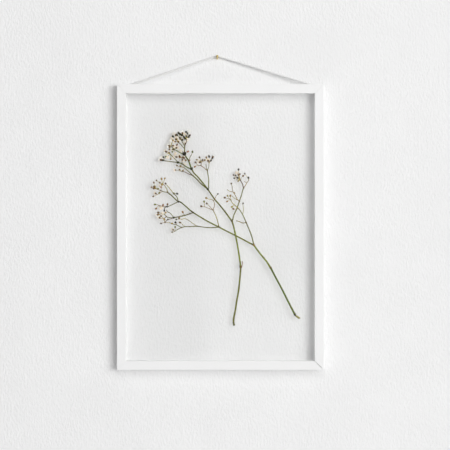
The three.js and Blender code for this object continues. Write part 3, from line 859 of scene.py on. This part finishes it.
def side_flower(rng):
    """A double flower pressed on its side: a fan of petals above its foot."""
    petals = 11
    half_fan = 62
    bm = bmesh.new()
    for k in range(petals):
        petal = petal_form(rng.uniform(0.85, 1.15), rng.uniform(0.3, 0.4), rng)
        share = (k + rng.uniform(-0.3, 0.3)) / (petals - 1)
        turn = math.radians(half_fan * (2 * share - 1))
        add_petal(bm, petal, turn, (0, rng.uniform(-0.18, 0.18), 0.28))
    return bm


def varied(colour, rng, amount=0.16):
    """A dried colour a little lighter or darker than its kind."""
    red, green, blue, alpha = linear(DRIED[colour])
    shade = 1 + rng.uniform(-amount, amount)
    warm = 1 + rng.uniform(-amount, amount) * 0.4
    return (red * shade * warm, green * shade, blue * shade / warm, alpha)


def in_plane(point):
    return Vector((point[0], 0, point[1])) * MM


def add_shoot(target, radius, colour, points, rng):
    """One shoot: tapered, swollen where it parts, finely grooved, with its tint changing along it."""
    radius = ADDED_RADIUS + SHOOT_GROWTH * radius
    step = max(0.9 * MM, 1.6 * radius * MM)
    route = smooth_route([in_plane(point) for point in points], step)
    lengths = [0.0]
    for a, b in zip(route, route[1:]):
        lengths.append(lengths[-1] + (b - a).length)
    total = lengths[-1]
    radii = []
    for run in lengths:
        share = run / total
        near_end = min(run, total - run) / (2.2 * radius * MM)
        swelling = SWELLING * math.exp(-near_end ** 2)
        wobble = WOBBLE * noise.noise(Vector((run / (4 * MM), radius * 17, points[0][0])))
        radii.append(radius * MM * (AT_FOOT - TAPER * share + swelling + wobble))
    segments = 12 if radius > 0.4 else 8
    bm = sweep(route, radii, segments, groove=0.9)
    base = varied(colour, rng, 0.1)
    dark = linear(DRIED["dark"])
    brown = linear(DRIED["brown"])

    def tint(co):
        blend = 0.5 + 0.5 * noise.noise(co / (9 * MM) + Vector((radius, 3.1, 0)))
        nearest = min((co - route[0]).length, (co - route[-1]).length)
        joint = math.exp(-(nearest / (1.6 * radius * MM + 0.5 * MM)) ** 2)
        mixed = [b + (w - b) * max(0.0, blend - 0.5) * 0.9 for b, w in zip(base, brown)]
        return tuple(m + (d - m) * 0.5 * joint for m, d in zip(mixed, dark))

    append(target, bm, tint)


def add_joint(target, where, radius, colour, rng):
    """The swelling where shoots part, with two short pointed scales beside it."""
    radius *= JOINT_GROWTH * MM
    centre = in_plane(where)
    bm = bmesh.new()
    placed = Matrix.Translation(centre) @ Matrix.Scale(radius, 4)
    bmesh.ops.create_uvsphere(bm, u_segments=12, v_segments=8, radius=1, matrix=placed)
    for vert in bm.verts:
        vert.co += (vert.co - centre) * 0.16 * noise.noise(vert.co / (0.9 * MM))
    append(target, bm, varied(colour, rng, 0.1))
    for side in (-1, 1):
        scale = bmesh.new()
        lean = math.radians(side * rng.uniform(18, 40))
        foot = centre + Vector((side * 0.45 * radius, 0, 0.1 * radius))
        tall = rng.uniform(1.5, 2.1) * radius
        placed = (Matrix.Translation(foot) @ Matrix.Rotation(lean, 4, "Y")
                  @ Matrix.Translation((0, 0, tall * 0.4)))
        bmesh.ops.create_cone(scale, cap_ends=True, segments=6, radius1=0.42 * radius,
                              radius2=0.02 * MM, depth=tall, matrix=placed)
        append(target, scale, varied("brown", rng))


def add_cut_end(target, start, end, radius, rng):
    """The pale shredded end of a cut stem: a short core and loose fibres."""
    start, end = in_plane(start), in_plane(end)
    route = smooth_route([start, end], 0.7 * MM)
    length = (end - start).length
    way = (end - start).normalized()
    side = way.cross(Vector((0, 1, 0)))
    count = len(route) - 1
    radii = [radius * MM * (0.8 + 0.28 * math.sin(math.pi * i / count) - 0.2 * (i / count) ** 6)
             for i in range(len(route))]
    append(target, sweep(route, radii, 12, groove=0.82), varied("sage", rng))
    for k in range(FIBRES):
        across = side * rng.uniform(-0.8, 0.8) * radius * MM
        offset = across + Vector((0, rng.uniform(-0.35, 0.35) * MM, 0))
        splay = side * (offset.dot(side) * 0.5)
        foot = start + way * length * rng.uniform(0.35, 0.6) + offset * 0.8
        tip = start + way * length * rng.uniform(0.9, 1.0) + offset + splay
        fibre = smooth_route([foot, (foot + tip) / 2 + offset * 0.15, tip], 0.5 * MM)
        last = len(fibre) - 1
        fine = [FIBRE_RADIUS * MM * (1 - 0.7 * i / last) for i in range(len(fibre))]
        append(target, sweep(fibre, fine, 5), varied("sage", rng, 0.3))


def stalk_start(where, shoots):
    """The nearest shoot point, with tips preferred, as the solids have it."""
    best = None
    best_cost = math.inf
    for _, _, route in shoots:
        for i, point in enumerate(route):
            cost = math.dist(where, point) + (0 if i == len(route) - 1 else TIP_PREFERENCE)
            if cost < best_cost:
                best, best_cost = point, cost
    return best


def add_stalk(target, start, where, rng):
    """A hair-thin stalk with a slight bow. Returns the way it points at its end."""
    foot, head = in_plane(start), in_plane(where)
    run = head - foot
    if run.length < 0.4 * MM:
        return Vector((0, 0, 1))
    bow = run.cross(Vector((0, 1, 0))) * rng.uniform(-0.12, 0.12)
    route = smooth_route([foot, foot + run * 0.5 + bow, head], 0.9 * MM)
    count = len(route) - 1
    radii = [STALK_RADIUS * MM * (1.25 - 0.35 * i / count) for i in range(count + 1)]
    append(target, sweep(route, radii, 6), varied("straw", rng, 0.2))
    return (route[-1] - route[-2]).normalized()


def turned_to(way, where, size, rng, tilt=0.3):
    """A matrix that stands a small form at a place, pointing along the way, turned at random."""
    turn = math.atan2(way.x, way.z) + rng.uniform(-tilt, tilt)
    spin = rng.uniform(0, math.tau)
    return (Matrix.Translation(in_plane(where)) @ Matrix.Rotation(turn, 4, "Y")
            @ Matrix.Rotation(spin, 4, "Z") @ Matrix.Scale(size * MM, 4))


def add_bud(target, forms, where, way, colour, rng):
    size = rng.uniform(*BUD_SIZES) * (DARK_BUD_GROWTH if colour in ("moss", "grey") else 1.0)
    opened = rng.random() < OPEN_BUDS
    bm = forms["open_bud" if opened else "bud"].copy()
    bm.transform(turned_to(way, where, size, rng) @ Matrix.Translation((0, 0, -0.55)))
    foot = in_plane(where) - way * 0.5 * size * MM
    base = varied(colour, rng, 0.22)
    tip = linear(DRIED["cream" if opened else "dark"])

    def tint(co):
        up = (co - foot).dot(way) / (size * MM)
        blend = min(1.0, max(0.0, (up - 0.95) * 4)) * 0.6
        return tuple(b + (t - b) * blend for b, t in zip(base, tip))

    append(target, bm, tint)


def add_flower(target, forms, where, way, colour, rng):
    size = rng.uniform(*FLOWER_SIZES) * (WHITE_FLOWER_GROWTH if colour == "white" else 1.0) * MM
    face_on = rng.random() < FACE_ON_FLOWERS
    bm = rng.choice(forms["face" if face_on else "side"]).copy()
    turn = math.atan2(way.x, way.z) + rng.uniform(-0.3, 0.3)
    if face_on:
        turn = rng.uniform(0, math.tau)
    else:
        bm.transform(Matrix.Translation((0, 0, -0.6)))
    centre = in_plane(where)
    placed = Matrix.Translation(centre) @ Matrix.Rotation(turn, 4, "Y")
    bm.transform(placed @ Matrix.Scale(size, 4))
    base = varied(colour, rng, 0.08)
    heart = linear(DRIED["tan"])

    def tint(co):
        out = min(1.0, (co - centre).length / (size * 0.7))
        return tuple(h + (b - h) * (0.8 + 0.2 * out) for h, b in zip(heart, base))

    append(target, bm, tint, slot=1)
    if not face_on:
        cup = forms["bud"].copy()
        cup.transform(placed @ Matrix.Translation((0, 0, -0.95 * size)) @ Matrix.Scale(0.8 * size, 4))
        append(target, cup, varied("brown", rng))


def press(bm, layer):
    """Squeezes the part softly to the pressed thickness and puts it in its layer."""
    for vert in bm.verts:
        vert.co.y = layer + HALF_PRESSED * math.tanh(vert.co.y / HALF_PRESSED)
        vert.co.x += FRAME_MIDDLE.x
        vert.co.z += FRAME_MIDDLE.z


def make_sprig_part(name, part, forms, materials):
    rng = random.Random(name)
    bm = bmesh.new()
    bm.verts.layers.float_color.new("tint")
    for radius, colour, route in part["shoots"]:
        add_shoot(bm, radius, colour, route, rng)
    for where, radius, colour in part["joints"]:
        add_joint(bm, where, radius, colour, rng)
    if "cut_end" in part:
        add_cut_end(bm, *part["cut_end"], rng)
    for kind, add in (("buds", add_bud), ("flowers", add_flower)):
        for colour, places in part.get(kind, {}).items():
            for where in places:
                way = add_stalk(bm, stalk_start(where, part["shoots"]), where, rng)
                add(bm, forms, where, way, colour, rng)
    press(bm, LAYERS[name.split("_")[0]])
    piece = new_piece(name + "_dried", bm, materials)
    mount_piece(piece, name)


def make_sprigs():
    rng = random.Random(7)
    forms = {
        "open_bud": bud_form(True),
        "bud": bud_form(False),
        "face": [rosette(rng) for _ in range(4)],
        "side": [side_flower(rng) for _ in range(4)],
    }
    materials = [dried_stalk(), dried_petal()]
    for name, part in SPRIGS.items():
        make_sprig_part(name, part, forms, materials)


def make_bars():
    """Each bar, with the paint closing three of the mitres; the bottom right one has opened."""
    upright = white_paint("white_paint_upright", (1, 1, 0.06))
    level = white_paint("white_paint_level", (0.06, 1, 1))
    bars = [
        ("bar_top", level, 0, PAINTED_GAP, PAINTED_GAP),
        ("bar_right", upright, 2, OPENED_GAP, PAINTED_GAP),
        ("bar_bottom", level, 0, PAINTED_GAP, OPENED_GAP),
        ("bar_left", upright, 2, PAINTED_GAP, PAINTED_GAP),
    ]
    for name, paint, axis, low_gap, high_gap in bars:
        bm = merged_copy(name)
        close_mitres(bm, low_gap, high_gap, axis)
        round_edges(bm, PAINT_ROUNDING, 3)
        bar = new_piece(name + "_painted", bm, [paint])
        mount_piece(bar, name)


def make_panes():
    sheet = clear_sheet()
    for name in ("pane_front", "pane_back"):
        bm = merged_copy(name)
        round_edges(bm, PANE_ROUNDING, 2)
        pane = new_piece(name + "_clear", bm, [sheet])
        pane.visible_shadow = False
        pane.visible_diffuse = False
        mount_piece(pane, name)


def make_cord():
    """The elastic loop: one closed tube, with its angle and run kept on every point for the braid."""
    corners = [place(right, up, CORD_PLANE) for right, up in CORD_ROUTE]
    corners.append(corners[0])
    route = smooth_route(corners, 4 * MM)[:-1]
    ways = directions(route, closed=True)
    bm = bmesh.new()
    lay = bm.verts.layers.float_vector.new("lay")
    run = 0.0
    rings = []
    for i, (point, way) in enumerate(zip(route, ways)):
        ring = bmesh.ops.create_circle(bm, segments=CORD_SIDES, radius=CORD_RADIUS,
                                       matrix=ring_place(point, way))
        run += (point - route[i - 1]).length if i > 0 else 0.0
        for k, vert in enumerate(ring["verts"]):
            angle = math.tau * k / CORD_SIDES
            vert[lay] = Vector((math.cos(angle), math.sin(angle), run / MM))
        edges = dict.fromkeys(edge for vert in ring["verts"] for edge in vert.link_edges)
        rings.append(list(edges))
    for before, after in zip(rings, rings[1:] + rings[:1]):
        bmesh.ops.bridge_loops(bm, edges=before + after)
    bmesh.ops.recalc_face_normals(bm, faces=bm.faces)
    lean = (-CORD_APEX_FROM_WALL - CORD_PLANE) / (CORD_APEX - CORD_LEAVES)
    for vert in bm.verts:
        vert.co.y += lean * max(0.0, vert.co.z - FRAME_MIDDLE.z - CORD_LEAVES)
    shade_smooth(bm)
    cord = new_piece("hanging_cord_braid", bm, [woven_elastic()])
    mount_piece(cord, "hanging_cord")


def make_pin():
    """The turned pin: a point in the wall, a plain shank and a small domed head with a collar."""
    outline = [
        (0, -12), (0.3, -11.2), (0.93, -9), (0.95, -8.5), (0.95, 7), (1.05, 7.15), (1.18, 7.35),
        (1.2, 7.8), (1.12, 8.15), (0.85, 8.4), (0.45, 8.55), (0, 8.6),
    ]
    bm = turned_form([(radius * MM, along * MM) for radius, along in outline], 32, 0.001 * MM)
    bm.transform(Matrix.Rotation(math.pi / 2 - PIN_TILT, 4, "X"))
    bm.transform(Matrix.Translation(place(*PIN_PLACE, 0)))
    shade_smooth(bm, sharp_from=math.radians(40))
    pin = new_piece("wall_pin_turned", bm, [polished_brass()])
    mount_piece(pin, "wall_pin")


# Stage, light and camera

def stage_sheet(name, half, placed, material):
    bm = bmesh.new()
    bmesh.ops.create_grid(bm, x_segments=1, y_segments=1, size=half, matrix=placed)
    return new_piece(name, bm, [material])


def make_stage():
    middle_of_wall = Matrix.Translation((FRAME_MIDDLE.x, WALL_GAP, FLOOR_LEVEL + WALL_HALF))
    upright = middle_of_wall @ Matrix.Rotation(math.pi / 2, 4, "X")
    wall = stage_sheet("wall", WALL_HALF, upright, rolled_wall())
    wall.visible_shadow = False
    level = Matrix.Translation((FRAME_MIDDLE.x, 0, FLOOR_LEVEL))
    floor = stage_sheet("floor", FLOOR_HALF, level, pale_floor())
    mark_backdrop(wall, floor)


def make_lamp(name, side, up, distance, width, height, power, reflected):
    """A soft lamp aimed at the frame's middle."""
    side, up = math.radians(side), math.radians(up)
    way = Vector((math.sin(side) * math.cos(up), -math.cos(side) * math.cos(up), math.sin(up)))
    light = bpy.data.lights.new(name, "AREA")
    light.shape = "RECTANGLE"
    light.size = width
    light.size_y = height
    light.energy = power
    lamp = bpy.data.objects.new(name, light)
    bpy.context.scene.collection.objects.link(lamp)
    lamp.location = FRAME_MIDDLE + way * distance
    lamp.visible_glossy = reflected
    lamp.rotation_euler = (-way).to_track_quat("-Z", "Y").to_euler()


def studio_world():
    """A pale room, lighter at its far sides and dimmer opposite the wall, with a pale doorway there."""
    def cosines(angles):
        return [math.cos(math.radians(angle)) for angle in angles]

    world = bpy.data.worlds.new("studio")
    world.use_nodes = True
    room = Pattern(world.node_tree, "Generated")
    sides = room.sides()
    facing = room.math("MULTIPLY", sides["Y"], -1)
    dim = room.range(facing, *cosines(DIMS_WITHIN), AMBIENT, AMBIENT * DIM_SHARE, "SMOOTHSTEP")
    lit = room.math("MULTIPLY_ADD", room.math("POWER", sides["X"], 6), SIDE_LIGHT, dim)
    ahead = room.range(facing, *cosines(DOORWAY_WITHIN), 0, 1, "SMOOTHSTEP")
    to_right = room.range(sides["X"], *DOORWAY_LEFT_EDGE, 0, 1, "SMOOTHSTEP")
    mottled = room.math("MULTIPLY", room.math("MULTIPLY", ahead, to_right), room.noise(16, detail=1))
    sky = room.tree.nodes["Background"]
    sky.inputs["Color"].default_value = (1.0, 1.0, 1.0, 1.0)
    room.feed(sky.inputs["Strength"], room.math("MULTIPLY_ADD", mottled, PALE_DOORWAY, lit))
    bpy.context.scene.world = world


def make_lights():
    for name, settings in LAMPS.items():
        make_lamp(name, *settings)
    studio_world()
    bpy.context.scene.view_settings.view_transform = "Standard"


def make_camera():
    lens = bpy.data.cameras.new("camera")
    lens.sensor_width = SENSOR_WIDTH
    lens.lens = SENSOR_WIDTH * CAMERA_DISTANCE / VIEW_WIDTH
    camera = bpy.data.objects.new("camera", lens)
    bpy.context.scene.collection.objects.link(camera)
    ahead = FRAME_FRONT - CAMERA_DISTANCE
    camera.location = FRAME_MIDDLE + Vector((CAMERA_RIGHT, ahead, CAMERA_UP))
    camera.rotation_euler = (math.pi / 2, 0, 0)
    bpy.context.scene.camera = camera


def write_sizes():
    boxes = {"cad": cad_box, "visual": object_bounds()}
    plain = {name: [[round(value, 6) for value in corner] for corner in box] for name, box in boxes.items()}


make_camera()
make_stage()
make_lights()
make_cord()
make_bars()
make_panes()
make_pin()
make_sprigs()
write_sizes()
